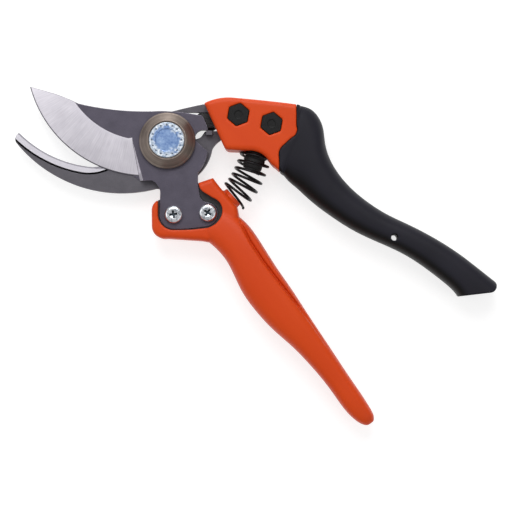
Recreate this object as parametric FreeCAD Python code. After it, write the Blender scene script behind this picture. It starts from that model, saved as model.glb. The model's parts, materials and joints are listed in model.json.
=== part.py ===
import FreeCAD, Part
import math
import os
from FreeCAD import Vector

os.makedirs("parts", exist_ok=True)

# Bypass pruning shears lying on their back, held open by the spring, in millimetres.
# The origin is on the pivot's axis, at the flat back of the pivot bolt's head.
# +Z comes out of the front, where the pivot nut is; the blades point to -X.

# overall sizes
blade_reach = 61.3            # pivot to the tip of the cutting blade
grip_length = 97.0            # root of the grip to its tail, along its slope
shank_length = 100.0          # head of the lower handle to its tip, along its slope
handle_thickness = 18.0
close_angle = 20.0            # turn of the lower half from open to shut

# clearances
blade_gap = 0.10              # between the two blades' faces
bearing_clearance = 0.05      # pivot bolt in its bush
washer_gap = 0.10             # friction washer to the turning blade
slot_clearance = 0.10         # blade tang in its moulded slot
bolt_clearance = 0.10         # bolt and screw shanks in their holes
socket_clearance = 0.20       # hexagons in their sockets
lock_clearance = 0.15         # lock nose beside the lock pin
guide_clearance = 0.15        # lock slider in the counterblade's window
stop_clearance = 0.20         # cutting blade to its opening stop
bumper_clearance = 0.30       # bumper to the spring seat when shut
nut_gap = 0.30                # pivot nut to the turning blade
disc_gap = 0.35               # locking disc in the nut's recess
joint_gap = 0.05              # moulded grip to moulded core

# pivot
bolt_radius = 5.0             # bearing length of the pivot bolt
bolt_head_radius = 9.0
bolt_head_height = 4.4
bolt_head_chamfer = 0.8
back_washer_radius = 10.5
back_washer_thickness = 0.6
neck_height = 3.7             # square neck, keyed in the counterblade
neck_margin = 0.2             # neck's half side beyond the bearing radius
thread_step = 0.5             # thread is this much smaller in radius than the bearing
bush_wall = 1.6
friction_washer_radius = 9.0
friction_washer_thickness = 0.6
nut_radius = 11.5
nut_skirt = 1.4               # height of the nut's straight rim
nut_height = 4.9
nut_lip = 0.35                # flat round the disc's recess
nut_top_round = 0.35
disc_radius = 7.25
disc_thickness = 1.3
disc_stand = 0.3              # disc above the nut's top
disc_hub_radius = 4.7
disc_hub_sink = 0.25
disc_pips = 16
disc_pip_radius = 0.42
disc_pip_circle = 6.1
disc_pip_depth = 0.4
thread_depth_in_disc = 0.4

# cutting blade
blade_thickness = 3.5
tip_angle = 158.25            # direction of the tip, counted from +X
heel_reach = 20.2             # pivot to the heel of the cutting edge
heel_angle = -136.4
edge_radius = 50.2            # sweep of the cutting edge
bevel_width = 14.6            # ground face, measured in from the edge
micro_bevel_width = 0.45
micro_bevel_height = 0.4
edge_land = 0.25              # thickness left at the cutting edge
bevel_start_angle = 160.0     # turn of the grinding cone, wider than the blade
bevel_sweep = 120.0
bevel_overrun = 12.0          # cutter beyond the blade
shoulder_top = Vector(-14.6, 1.2, 0)       # run-out line of the ground face, on the front
shoulder_heel = Vector(-9.9, -16.3, 0)
shoulder_width = 1.5          # slope of the shoulder at the heel
hub_radius = 17.6             # cutting blade around the pivot
lobe_start = Vector(16.6, 4.4, 0)
lobe_top = Vector(14.2, 10.3, 0)
tang_screw_radius = 2.0
tang_reach = 5.9              # edge of the tang beyond the left screw
left_screw = Vector(2.6, -30.2, 0)
right_screw = Vector(16.6, -29.5, 0)

# counterblade
counterblade_thickness = 4.0
hook_overhang = 0.3           # hook beyond the cutting blade's tip
hook_angle = 176.6
hook_nose_reach = 1.0         # blunt nose beyond the hook's point
hook_nose_angle = 180.3
hook_inner_radius = 49.7
hook_outer_radius = 55.8
throat = Vector(-31.1, -10.5, 0)
hook_root = Vector(-4.8, -19.3, 0)
counter_hub_radius = 18.4
counter_shoulder_radius = 19.3
counter_crown_radius = 11.9   # hidden side of the hub
groove_inset = 3.0            # sap groove below the inner edge
groove_width = 0.8
groove_depth = 0.7
groove_start_angle = 228.0
groove_bend_angle = 259.8     # from here on the groove bends up, out of the throat
groove_bend_radius = 18.6
groove_end_angle = 296.0
window_low_angle = 5.0
window_high_angle = 55.0
stop_width = 2.5
stop_length = 1.7
stop_height = 3.3
stop_right = 18.3
stop_root = 0.5               # land's depth into the neck

# upper handle
handle_bolt_places = [Vector(29.2, 10.3, 0), Vector(42.7, 6.6, 0)]
handle_bolt_radius = 2.5
handle_bolt_flats = 8.0
handle_bolt_turn = 20.0
handle_bolt_head = 3.6
handle_bolt_sink = 0.2        # head below the front face
handle_bolt_dimple = 1.6
handle_bolt_dimple_depth = 0.35
handle_nut_height = 3.6
handle_nut_sink = 0.8         # nut above the back face
tang_half_width = 5.0         # counterblade's tang each side of the bolts
grip_root = Vector(50.0, 0, 0)
grip_slope = -38.0
block_round = 1.8             # rounding along the block's rims
core_margin = 3.2             # grip's wall over the core
core_end = 0.46               # share of the grip's length that the core reaches
lanyard_radius = 1.3
lanyard_share = 0.598
lanyard_offset = -5.1

# spring and bumper
bumper_radius = 4.7
bumper_end_radius = 3.4
bumper_length = 9.6
bumper_root_depth = 4.0
bumper_root_radius = 3.0
bumper_ribs = 3
bumper_rib_height = 0.45
bumper_step = 0.4             # first rib below the block
rib_crest_end = 0.6           # shares of the way from rib to rib
rib_valley_start = 0.75
rib_valley_end = 0.95
bumper_top = Vector(36.6, -4.6, 0)
bumper_direction = -109.0
spring_foot = Vector(26.3, -23.2, 0)
spring_wire = 0.55
spring_radius = 6.2
spring_turns = 6
spring_pull = 6.8             # how far the middle line keeps its first and last direction
spring_rows = 12              # spans of the wire's skin in a turn
spring_sides = 8
spring_end_gap = 0.75         # end coils' wire centre to what they press on
spring_room = 0.5             # block's recess round the coils
seat_direction = 40.5         # out of the lower handle's inner face
seat_radius = 4.3
seat_height = 0.9
seat_root = 5.0

# lower handle
head_back = 0.6
screw_head_radius = 3.7
screw_head_height = 2.3
screw_recess_width = 0.75
screw_recess_depth = 1.2
screw_recess_reach = 1.9
left_screw_turn = 10.0        # how the cross recesses came to rest
right_screw_turn = -35.0
head_rim = 2.9                # handle's rim above the tang
pocket_corner = 0.5           # liner seen round the tang
liner_floor = 0.6
liner_drop = 0.4              # liner's rim below the tang's face
liner_fit = 0.15
insert_radius = 3.2
insert_length = 5.4
screw_length = 9.0
shank_root = Vector(22.0, -36.0, 0)
shank_slope = -55.0
head_round = 2.0

# lock
lock_direction = 37.0         # way that the slider moves, outward
lock_travel = 2.4
lock_path_radius = 12.9       # pivot to the lock pin
lock_pin_radius = 0.9
lock_pin_bite = 2.5           # pin's depth in the cutting blade
nose_stand_off = 1.5          # released nose beyond the pin's path
nose_room = 0.7               # window's side to the nose when locked
nose_length = 2.0             # slider's nose beyond its shoulder
slider_depth = 4.8
slider_low = 7.1
slider_step = 5.2
slider_slope = 1.8
slider_taper = 0.3
slider_shoulder = 1.5
slider_room = 0.6             # window's end to the released slider
slider_side_room = 0.28       # window's upper side to the slider
button_thickness = 3.4
button_reach = 7.2
button_half_width = 4.6
button_inset = 1.0            # button's inner end beyond the slider's
button_aside = -2.6
button_ridges = 4
button_ridge_height = 0.5
button_ridge_width = 0.7
button_ridge_half = 3.6
button_ridge_start = 1.1
stem_in = 1.9                 # stem from the slider's shoulder
stem_aside = -3.4
button_stem_radius = 1.3
button_relief = 0.5

# heights of the stack, from the back
counterblade_back = bolt_head_height + back_washer_thickness
counterblade_front = counterblade_back + counterblade_thickness
blade_back = counterblade_front + blade_gap
blade_front = blade_back + blade_thickness
washer_back = blade_front + washer_gap
washer_front = washer_back + friction_washer_thickness
nut_back = blade_front + nut_gap
nut_front = nut_back + nut_height
disc_front = nut_front + disc_stand
disc_back = disc_front - disc_thickness
nut_top_radius = disc_radius + disc_gap + nut_lip
handle_middle = handle_thickness / 2
bush_radius = bolt_radius + bearing_clearance + bush_wall
thread_radius = bolt_radius - thread_step
neck_top = lobe_start.y - stop_clearance      # upper edge of the neck and of its stop
slider_inner = lock_path_radius + nose_stand_off + nose_length
slider_outer = slider_inner + slider_depth
far = 200.0                   # longer than the whole tool
flat = 0.01                   # an edge of less height than this is level
up = Vector(0, 0, 1)
origin = Vector(0, 0, 0)


def at(x, y, z=0.0):
    return Vector(x, y, z)


def polar(radius, angle, centre=origin):
    turn = math.radians(angle)
    return centre + Vector(radius * math.cos(turn), radius * math.sin(turn), 0)


def sloped(root, slope, length):
    """Gives a function that places (share of the length, offset to the left) along a slope."""
    along = polar(length, slope)
    aside = polar(1, slope + 90)

    def place(share, offset):
        return root + along * share + aside * offset

    return place


on_grip = sloped(grip_root, grip_slope, grip_length)
on_shank = sloped(shank_root, shank_slope, shank_length)
on_lock = sloped(origin, lock_direction, 1)


def bow_of(start, end, radius):
    """Height of an arc of this radius over the straight line between its ends."""
    half = start.distanceToPoint(end) / 2
    return radius - math.sqrt(radius * radius - half * half)


def centre_of(start, end, radius):
    """Centre of the arc, on the left of the way from start to end."""
    way = end - start
    left = Vector(-way.y, way.x, 0).normalize()
    return (start + end) / 2 + left * (radius - bow_of(start, end, radius))


def edge(start, end, bow):
    """Straight when bow is 0, else an arc; a positive bow swells to the right of the way."""
    if bow == 0:
        return Part.LineSegment(start, end).toShape()
    way = end - start
    right = Vector(way.y, -way.x, 0).normalize()
    return Part.Arc(start, (start + end) / 2 + right * bow, end).toShape()


def outline(corners):
    """Closed wire through (corner, bow of the edge that leaves it), anticlockwise."""
    edges = []
    for number, (corner, bow) in enumerate(corners):
        following = corners[(number + 1) % len(corners)][0]
        edges.append(edge(corner, following, bow))
    return Part.Wire(edges)


def straight(points):
    return [(point, 0) for point in points]


def plate(wire, bottom, top):
    face = Part.Face(wire)
    face.translate(Vector(0, 0, bottom))
    return face.extrude(Vector(0, 0, top - bottom))


def rod(radius, bottom, top, place=origin):
    return Part.makeCylinder(radius, top - bottom, place + Vector(0, 0, bottom), up)


def turned(profile, centre=origin, start_angle=0.0, sweep=360.0):
    """Solid turned about a line along Z from (radius, height) points."""
    points = [Vector(radius, 0, height) for radius, height in profile]
    face = Part.Face(Part.makePolygon(points + points[:1]))
    solid = face.revolve(origin, up, sweep)
    solid.rotate(origin, up, start_angle)
    solid.translate(centre)
    return solid


def hexagon(flats, bottom, top, place, turn):
    corners = [polar(flats / math.sqrt(3), turn + 60 * side, place) for side in range(6)]
    return plate(outline(straight(corners)), bottom, top)


def rib(first, last, thickness, squareness):
    """Points round a cross-section of a handle: a rounded oblong from one side to the other."""
    steps = 40
    middle = (first + last) / 2 + Vector(0, 0, handle_middle)
    reach = (last - first) / 2
    points = []
    for step in range(steps):
        turn = 2 * math.pi * step / steps
        across = math.cos(turn)
        height = math.sin(turn)
        swell = (abs(across) ** squareness + abs(height) ** squareness) ** (-1 / squareness)
        points.append(middle + reach * across * swell + Vector(0, 0, thickness / 2 * height * swell))
    return points + points[:1]


def loft(ribs, spans=1):
    """Smooth closed skin through the cross-sections, with a flat face at each end."""
    rows = (len(ribs) - 1) // spans
    faces = []
    for span in range(spans):
        surface = Part.BSplineSurface()
        surface.interpolate(ribs[span * rows:(span + 1) * rows + 1])
        start, end = surface.bounds()[:2]
        faces.append(surface.toShape())
        if span == 0:
            faces.append(Part.Face(Part.Wire(surface.uIso(start).toShape())))
        if span == spans - 1:
            faces.append(Part.Face(Part.Wire(surface.uIso(end).toShape())))
    skin = Part.makeShell(faces)
    skin.sewShape()
    solid = Part.makeSolid(skin)
    if solid.Volume < 0:
        solid.reverse()
    return solid


# ---- cutting blade and its half ----

def blade_outline():
    tip = polar(blade_reach, tip_angle)
    heel = polar(heel_reach, heel_angle)
    hub_low = at(12.4, -13.2)
    hub_high = at(16.5, -4.4)
    return outline([
        (tip, bow_of(tip, heel, edge_radius)),
        (heel, 0),
        (at(-11.2, -16.3), 0),
        (at(-6.4, -16.2), -1.1),
        (at(-3.0, -22.0), 0),
        (left_screw + at(-tang_reach, -0.5), 1.7),
        (left_screw + at(0.6, -tang_reach), 0.3),
        (right_screw + at(0.2, -5.4), 0.9),
        (right_screw + at(4.1, -0.6), 1.2),
        (right_screw + at(0.2, 4.2), -0.8),
        (at(13.2, -22.3), 0),
        (at(12.4, -16.6), 0),
        (hub_low, bow_of(hub_low, hub_high, hub_radius)),
        (hub_high, 0),
        (at(11.1, 0.4), 0),
        (at(11.2, 1.7), -0.6),
        (at(14.0, lobe_start.y), 0),
        (lobe_start, bow_of(lobe_start, lobe_top, hub_radius)),
        (lobe_top, 0.35),
        (at(-2.4, 12.3), -1.25),
        (tip + at(20.3, -7.3), 0.15),
        (tip + at(10.7, -3.2), 0),
    ])


def edge_centre():
    return centre_of(polar(blade_reach, tip_angle), polar(heel_reach, heel_angle), edge_radius)


def bevel_cutter():
    """The ground face, with the finer bevel at its edge: a cone round the edge's centre."""
    sharp = blade_back + edge_land
    beyond = edge_radius + bevel_overrun
    return turned([
        (edge_radius - bevel_width, blade_front),
        (edge_radius - micro_bevel_width, sharp + micro_bevel_height),
        (edge_radius, sharp),
        (beyond, sharp),
        (beyond, blade_front + bevel_overrun),
        (edge_radius - bevel_width, blade_front + bevel_overrun),
    ], edge_centre(), bevel_start_angle, bevel_sweep)


def shoulder():
    """Everything on the pivot's side of the sloping run-out of the ground face."""
    crown = shoulder_top + Vector(0, 0, blade_front)
    heel = shoulder_heel + Vector(0, 0, blade_front)
    foot = shoulder_heel + Vector(-shoulder_width, 0, blade_back + edge_land)
    facing = (heel - crown).cross(foot - crown).normalize()
    if facing.x < 0:
        facing = -facing
    return Part.makeCylinder(far, far, crown, facing)


def lock_pin_place():
    return polar(lock_path_radius, lock_direction - close_angle / 2)


def cutting_blade():
    blade = plate(blade_outline(), blade_back, blade_front)
    blade = blade.cut(bevel_cutter().cut(shoulder()))
    blade = blade.cut(rod(bush_radius, 0, far))
    for place in (left_screw, right_screw):
        blade = blade.cut(rod(tang_screw_radius + bolt_clearance, 0, far, place))
    pin_hole = rod(lock_pin_radius, 0, blade_back + lock_pin_bite, lock_pin_place())
    return blade.cut(pin_hole)


def blade_bush():
    inside = bolt_radius + bearing_clearance
    return rod(bush_radius, blade_back, blade_front).cut(rod(inside, 0, far))


def lock_pin():
    bottom = counterblade_back + guide_clearance
    return rod(lock_pin_radius, bottom, blade_back + lock_pin_bite, lock_pin_place())


def pocket_outline():
    """Recess for the tang, open towards the pivot."""
    side = left_screw.x - tang_reach - pocket_corner
    return outline([
        (at(side, -10.0), 0),
        (at(side, left_screw.y - 0.6), 1.8),
        (left_screw + at(0.5, -tang_reach - pocket_corner), 0.3),
        (right_screw + at(0.0, -5.7 - pocket_corner), 1.3),
        (right_screw + at(6.0, 0.0), 1.3),
        (right_screw + at(2.1, 6.1), 0),
        (at(14.6, -20.9), -0.4),
        (at(12.7, -17.3), 0),
        (at(12.7, -10.0), 0),
    ])


def head_outline():
    return outline([
        (at(-3.0, -24.0), 1.0),
        (at(-6.4, -28.6), 0),
        (at(-6.3, -34.8), 1.9),
        (at(-0.3, -39.9), 0),
        (at(14.2, -40.9), 0),
        (at(16.6, -41.4), 0),
        (at(26.0, -38.0), 0),
        (at(29.2, -31.0), 0),
        (at(28.5, -27.2), 0),
        (at(21.5, -19.0), 0),
        (at(18.7, -15.3), 0),
        (at(12.7, -17.3), 0),
    ])


def seat_face():
    """Middle of the spring seat's face, and the way that it looks."""
    way = polar(1, seat_direction)
    return spring_foot + way * seat_height + Vector(0, 0, handle_middle), way


def lower_handle():
    head = plate(head_outline(), head_back, blade_front + head_rim)
    rims = [line for line in head.Edges if line.BoundBox.ZLength < flat]
    head = head.makeFillet(head_round, rims)
    ribs = []
    for share, inner, outer, thickness in (
        (-0.06, 7.0, -2.0, 13.0), (0.02, 9.4, -7.2, 15.6), (0.12, 10.1, -5.8, 17.0),
        (0.25, 9.5, -7.7, 17.8), (0.37, 9.4, -7.6, 17.8), (0.46, 9.1, -6.3, 17.5), (0.56, 8.8, -3.9, 16.5),
        (0.65, 8.6, -2.4, 15.5), (0.80, 8.2, -1.2, 14.0), (0.95, 7.8, -0.1, 12.5),
        (0.98, 7.3, 1.1, 10.5), (1.0, 5.9, 2.9, 6.5),
    ):
        ribs.append(rib(on_shank(share, inner), on_shank(share, outer), thickness, 3.2))
    handle = head.fuse(loft(ribs))
    face, way = seat_face()
    depth = seat_root + seat_height
    seat = Part.makeCylinder(seat_radius, depth, face - way * depth, way)
    handle = handle.fuse(seat)
    handle = handle.cut(plate(pocket_outline(), blade_back - liner_floor, far))
    for place in (left_screw, right_screw):
        handle = handle.cut(insert_hole(place))
    return handle.removeSplitter()


def insert_top():
    return blade_back - liner_floor


def insert_hole(place):
    return rod(insert_radius, insert_top() - insert_length, far, place)


def tang_liner():
    """Thin tray between the tang and its pocket, seen as a dark rim."""
    bottom = blade_back - liner_floor
    top = blade_front - liner_drop
    liner = plate(pocket_outline(), bottom, top)
    liner = liner.common(plate(head_outline(), bottom, top))
    clear = blade_outline().makeOffset2D(liner_fit)
    liner = liner.cut(plate(clear, blade_back, far))
    for place in (left_screw, right_screw):
        liner = liner.cut(rod(tang_screw_radius + bolt_clearance, 0, far, place))
    return liner


def tang_inserts():
    solids = []
    for place in (left_screw, right_screw):
        body = rod(insert_radius, insert_top() - insert_length, insert_top(), place)
        solids.append(body.cut(rod(tang_screw_radius, 0, far, place)))
    return Part.makeCompound(solids)


def tang_screws():
    solids = []
    for place, turn in ((left_screw, left_screw_turn), (right_screw, right_screw_turn)):
        shank = rod(tang_screw_radius, blade_front - screw_length, blade_front, place)
        head = rod(screw_head_radius, blade_front, blade_front + screw_head_height, place)
        crown = [line for line in head.Edges if line.BoundBox.ZMin > blade_front + flat]
        head = head.makeFillet(screw_head_height / 2, crown)
        screw = shank.fuse(head)
        top = blade_front + screw_head_height
        for quarter in (0, 90):
            bar = Part.makeBox(2 * screw_recess_reach, screw_recess_width, screw_recess_depth)
            bar.translate(Vector(-screw_recess_reach, -screw_recess_width / 2, top - screw_recess_depth))
            bar.rotate(origin, up, turn + quarter)
            bar.translate(place)
            screw = screw.cut(bar)
        solids.append(screw)
    return Part.makeCompound(solids)


# ---- pivot ----

def pivot_bolt():
    head = turned([
        (0, 0),
        (bolt_head_radius - bolt_head_chamfer, 0),
        (bolt_head_radius, bolt_head_chamfer),
        (bolt_head_radius, bolt_head_height),
        (0, bolt_head_height),
    ])
    half = bolt_radius + neck_margin
    neck_top_height = counterblade_back + neck_height
    neck = Part.makeBox(2 * half, 2 * half, neck_top_height - bolt_head_height)
    neck.translate(Vector(-half, -half, bolt_head_height))
    bearing = rod(bolt_radius, neck_top_height, washer_front)
    thread = rod(thread_radius, washer_front, disc_back + thread_depth_in_disc)
    return head.fuse([neck, bearing, thread]).removeSplitter()


def neck_hole():
    half = bolt_radius + neck_margin
    hole = Part.makeBox(2 * half, 2 * half, far)
    hole.translate(Vector(-half, -half, 0))
    return hole


def back_washer():
    washer = rod(back_washer_radius, bolt_head_height, counterblade_back)
    return washer.cut(neck_hole())


def friction_washer():
    inside = bolt_radius + bearing_clearance
    return rod(friction_washer_radius, washer_back, washer_front).cut(rod(inside, 0, far))


def pivot_nut():
    recess = disc_radius + disc_gap
    floor = disc_back
    inside = friction_washer_radius + disc_gap
    return turned([
        (thread_radius, washer_front),
        (inside, washer_front),
        (inside, nut_back),
        (nut_radius, nut_back),
        (nut_radius, nut_back + nut_skirt),
        (nut_top_radius + nut_top_round, nut_front - nut_top_round / 2),
        (nut_top_radius, nut_front),
        (recess, nut_front),
        (recess, floor),
        (thread_radius, floor),
    ])


def locking_disc():
    disc = turned([
        (0, disc_back + thread_depth_in_disc),
        (thread_radius, disc_back + thread_depth_in_disc),
        (thread_radius, disc_back),
        (disc_radius, disc_back),
        (disc_radius, disc_front - disc_stand),
        (disc_radius - disc_stand, disc_front),
        (disc_hub_radius, disc_front),
        (disc_hub_radius - disc_hub_sink, disc_front - disc_hub_sink),
        (0, disc_front - disc_hub_sink),
    ])
    for number in range(disc_pips):
        place = polar(disc_pip_circle, 360 * number / disc_pips)
        disc = disc.cut(rod(disc_pip_radius, disc_front - disc_pip_depth, far, place))
    return disc


# ---- counterblade and upper handle ----

def window_outline():
    """Opening beside the pivot, where the lock works."""
    radius = lock_path_radius + nose_stand_off - lock_travel - nose_room
    low = polar(radius, window_low_angle)
    high = polar(radius, window_high_angle)
    neck = at(stop_right - stop_width, neck_top)
    way = neck - low
    right = on_lock(slider_outer, -slider_low).x + slider_room
    top = on_lock(slider_inner + slider_shoulder, nose_half_width()).y + slider_side_room
    return outline([
        (low, 0.2),
        (low + at(way.x * 0.516, way.y * 0.285), 0),
        (low + at(way.x * 0.78, way.y * 0.782), -0.2),
        (neck, 0),
        (at(right, neck_top + 0.1), 0),
        (at(right, top), 0),
        (at(high.x + 2.0, top), 0),
        (high, -bow_of(low, high, radius)),
    ])


def counterblade_outline():
    hook_reach = blade_reach + hook_overhang
    hook = polar(hook_reach, hook_angle)
    nose = polar(hook_reach + hook_nose_reach, hook_nose_angle)
    first, last = handle_bolt_places
    along = (last - first).normalize()
    left = Vector(-along.y, along.x, 0)
    hub_low = at(12.6, -13.4)
    hub_high = at(18.1, -3.1)
    crown_start = polar(counter_crown_radius, 88)
    crown_end = polar(counter_crown_radius, 190)
    return outline([
        (hook, 0.9),
        (nose, bow_of(nose, hook_root, hook_outer_radius)),
        (hook_root, bow_of(hook_root, hub_low, counter_shoulder_radius)),
        (hub_low, bow_of(hub_low, hub_high, counter_hub_radius)),
        (hub_high, -0.3),
        (at(21.2, 0.3), 0),
        (at(24.6, 3.4), 0),
        (last - left * tang_half_width, tang_half_width),
        (last + left * tang_half_width, 0),
        (first + left * tang_half_width, 0),
        (at(20.0, 15.5), 0),
        (at(14.4, 15.3), 0.1),
        (at(1.7, 12.4), 0),
        (crown_start, bow_of(crown_start, crown_end, counter_crown_radius)),
        (crown_end, -1.8),
        (throat, -bow_of(throat, hook, hook_inner_radius)),
    ])


def groove_cutter(radius, centre, start, end):
    return turned([
        (radius - groove_width / 2, counterblade_front + groove_depth),
        (radius - groove_width / 2, counterblade_front),
        (radius, counterblade_front - groove_depth),
        (radius + groove_width / 2, counterblade_front),
        (radius + groove_width / 2, counterblade_front + groove_depth),
    ], centre, start, end - start)


def sap_groove():
    """Runs beside the inner edge of the hook, then bends up below the cutting blade."""
    hook = polar(blade_reach + hook_overhang, hook_angle)
    centre = centre_of(hook, throat, hook_inner_radius)
    radius = hook_inner_radius + groove_inset
    bend_centre = polar(radius - groove_bend_radius, groove_bend_angle, centre)
    along = groove_cutter(radius, centre, groove_start_angle, groove_bend_angle)
    return along.fuse(groove_cutter(groove_bend_radius, bend_centre, groove_bend_angle, groove_end_angle))


def opening_stop():
    """Raised land on the neck, where the lobe of the cutting blade comes to rest."""
    corners = [
        at(stop_right - stop_width, neck_top - stop_length),
        at(stop_right, neck_top - stop_length),
        at(stop_right, neck_top),
        at(stop_right - stop_width, neck_top),
    ]
    return plate(outline(straight(corners)), counterblade_front - stop_root, counterblade_front + stop_height)


def counterblade():
    blade = plate(counterblade_outline(), counterblade_back, counterblade_front)
    blade = blade.cut(plate(window_outline(), 0, far))
    blade = blade.cut(neck_hole())
    blade = blade.cut(sap_groove())
    for place in handle_bolt_places:
        blade = blade.cut(rod(handle_bolt_radius + bolt_clearance, 0, far, place))
    return blade.fuse(opening_stop()).removeSplitter()


def block_outline():
    """Moulded block that holds the counterblade's tang."""
    return outline([
        (at(15.2, 15.1), 0),
        (at(23.6, -3.4), 0),
        (at(24.8, -4.0), 0),
        (at(34.8, -4.4), -1.1),
        (at(42.1, -9.3), 0),
        (at(47.2, -13.8), 0),
        (at(55.0, 2.0), 0),
        (at(54.2, 14.4), 0.15),
        (at(27.0, 17.35), 0.85),
    ])


def upper_ribs(margin):
    """Cross-sections of the upper handle behind the block, drawn in by a margin from its skin."""
    block = (
        (at(43.0, 15.7), at(42.4, -9.4), 0.99, 6.0),
        (at(47.6, 15.1), at(44.0, -11.0), 0.99, 6.0),
    )
    grip = (
        ((-0.071, 13.0), (0.041, -12.1), 0.99, 5.0),
        ((-0.007, 15.6), (0.093, -13.1), 0.99, 3.6),
        ((0.068, 13.3), (0.141, -13.4), 0.99, 2.9),
        ((0.121, 8.5), (0.19, -13.8), 0.99, 2.6),
        ((0.19, 3.9), (0.25, -14.1), 0.98, 2.6),
        ((0.30, 0.6), (0.33, -13.9), 0.95, 2.6),
        ((0.40, -0.1), (0.41, -13.3), 0.92, 2.6),
        ((0.50, 0.6), (0.50, -11.8), 0.9, 2.6),
        ((0.617, 3.0), (0.633, -8.6), 0.88, 2.7),
        ((0.74, 5.1), (0.74, -7.1), 0.88, 2.8),
        ((0.85, 6.1), (0.85, -6.8), 0.89, 2.9),
        ((0.96, 6.2), (0.96, -7.9), 0.9, 3.0),
        ((1.1, 5.9), (1.08, -8.8), 0.9, 3.0),
    )
    sections = list(block)
    for top, bottom, depth, squareness in grip:
        sections.append((on_grip(*top), on_grip(*bottom), depth, squareness))
    ribs = []
    for top, bottom, depth, squareness in sections:
        way = (top - bottom).normalize()
        thickness = depth * handle_thickness - 2 * margin
        ribs.append(rib(top - way * margin, bottom + way * margin, thickness, squareness))
    return ribs


def upper_skin():
    """The whole upper handle, cut off square at the tail."""
    tail = outline([
        (on_grip(0.93, -11.0), 0),
        (on_grip(0.962, -8.0), 0),
        (on_grip(1.062, 1.6), 1.8),
        (on_grip(1.03, 6.5), 0),
        (on_grip(1.03, 12.0), 0),
        (on_grip(1.2, 12.0), 0),
        (on_grip(1.2, -11.0), 0),
    ])
    block = plate(block_outline(), 0, handle_thickness)
    rims = [line for line in block.Edges if line.BoundBox.ZLength < flat]
    block = block.makeFillet(block_round, rims)
    return block.fuse(loft(upper_ribs(0)).cut(plate(tail, -far, far)))


def core_side(gap):
    """Region in front of the line where the core meets the grip."""
    shift = at(gap, 0)
    return outline([
        (at(-far, -far), 0),
        (at(45.8, -far) + shift, 0),
        (at(45.8, -7.6) + shift, -1.0),
        (at(47.9, -1.9) + shift, 0),
        (at(50.9, 0.9) + shift, 1.1),
        (at(52.8, 5.6) + shift, 0),
        (at(52.7, far) + shift, 0),
        (at(-far, far), 0),
    ])


def core_tongue(margin):
    """Stiff tongue of the core inside the grip."""
    whole = loft(upper_ribs(margin))
    first, last = on_grip(core_end, -far), on_grip(core_end, far)
    beyond = polar(far * 2, grip_slope)
    end = outline(straight([first, first + beyond, last + beyond, last]))
    return whole.cut(plate(end, -far, far))


def lock_oblong(inner, outer, half):
    """Oblong in line with the lock, on the button's middle line."""
    return outline(straight([
        on_lock(inner, button_aside - half),
        on_lock(outer, button_aside - half),
        on_lock(outer, button_aside + half),
        on_lock(inner, button_aside + half),
    ]))


def button_outline(margin):
    inner = slider_inner - button_inset - margin
    outer = slider_inner - button_inset + button_reach + margin
    return lock_oblong(inner, outer, button_half_width + margin)


def upper_handle_core():
    front = upper_skin().common(plate(core_side(0), -far, far))
    core = front.fuse(core_tongue(core_margin))
    slot = plate(counterblade_outline().makeOffset2D(slot_clearance),
                 counterblade_back - slot_clearance, counterblade_front + slot_clearance)
    core = core.cut(slot)
    core = core.cut(plate(button_outline(button_relief), -far, counterblade_back))
    socket = handle_bolt_flats + 2 * socket_clearance
    nut_top = handle_nut_sink + handle_nut_height
    for place in handle_bolt_places:
        core = core.cut(rod(handle_bolt_radius + bolt_clearance, -far, far, place))
        core = core.cut(hexagon(socket, bolt_seat(), far, place, handle_bolt_turn))
        core = core.cut(hexagon(socket, -far, nut_top, place, handle_bolt_turn))
    core = core.cut(spring_recess())
    return core.cut(spring_bumper())


def upper_handle_grip():
    grip = upper_skin().cut(plate(core_side(joint_gap), -far, far))
    grip = grip.cut(core_tongue(core_margin - joint_gap))
    return grip.cut(rod(lanyard_radius, -far, far, on_grip(lanyard_share, lanyard_offset)))


def bolt_seat():
    return handle_thickness - handle_bolt_sink - handle_bolt_head


def handle_bolts():
    solids = []
    for place in handle_bolt_places:
        top = bolt_seat() + handle_bolt_head
        head = hexagon(handle_bolt_flats, bolt_seat(), top, place, handle_bolt_turn)
        head = head.cut(rod(handle_bolt_dimple, top - handle_bolt_dimple_depth, far, place))
        shank = rod(handle_bolt_radius, handle_nut_sink, bolt_seat(), place)
        solids.append(head.fuse(shank))
    return Part.makeCompound(solids)


def handle_nuts():
    solids = []
    for place in handle_bolt_places:
        top = handle_nut_sink + handle_nut_height
        nut = hexagon(handle_bolt_flats, handle_nut_sink, top, place, handle_bolt_turn)
        solids.append(nut.cut(rod(handle_bolt_radius, 0, far, place)))
    return Part.makeCompound(solids)


# ---- bumper and spring ----

def place_bumper(solid):
    """Turns a solid made along +Z so that it hangs out of the upper handle."""
    solid.rotate(origin, Vector(0, 1, 0), 90)
    solid.rotate(origin, up, bumper_direction)
    solid.translate(bumper_top + Vector(0, 0, handle_middle))
    return solid


def spring_bumper():
    profile = [
        (0, -bumper_root_depth),
        (bumper_root_radius, -bumper_root_depth),
        (bumper_root_radius, bumper_step),
    ]
    run = bumper_length / (bumper_ribs + 1)
    for number in range(bumper_ribs + 1):
        share = number / (bumper_ribs + 1)
        radius = bumper_radius + (bumper_end_radius - bumper_radius) * share
        start = bumper_step + run * number
        profile.append((radius, start))
        profile.append((radius, start + run * rib_crest_end))
        profile.append((radius - bumper_rib_height, start + run * rib_valley_start))
        profile.append((radius - bumper_rib_height, start + run * rib_valley_end))
    profile.append((bumper_end_radius - bumper_rib_height, bumper_length + bumper_step))
    profile.append((0, bumper_length + bumper_step))
    bumper = place_bumper(turned(profile))
    face, way = seat_face()
    block = Part.makeCylinder(far, far, face + way * bumper_clearance - way * far, way)
    block.rotate(origin, up, close_angle)
    return bumper.cut(block)


def spring_recess():
    return place_bumper(rod(spring_radius + spring_wire + spring_room, 0, far))


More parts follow.
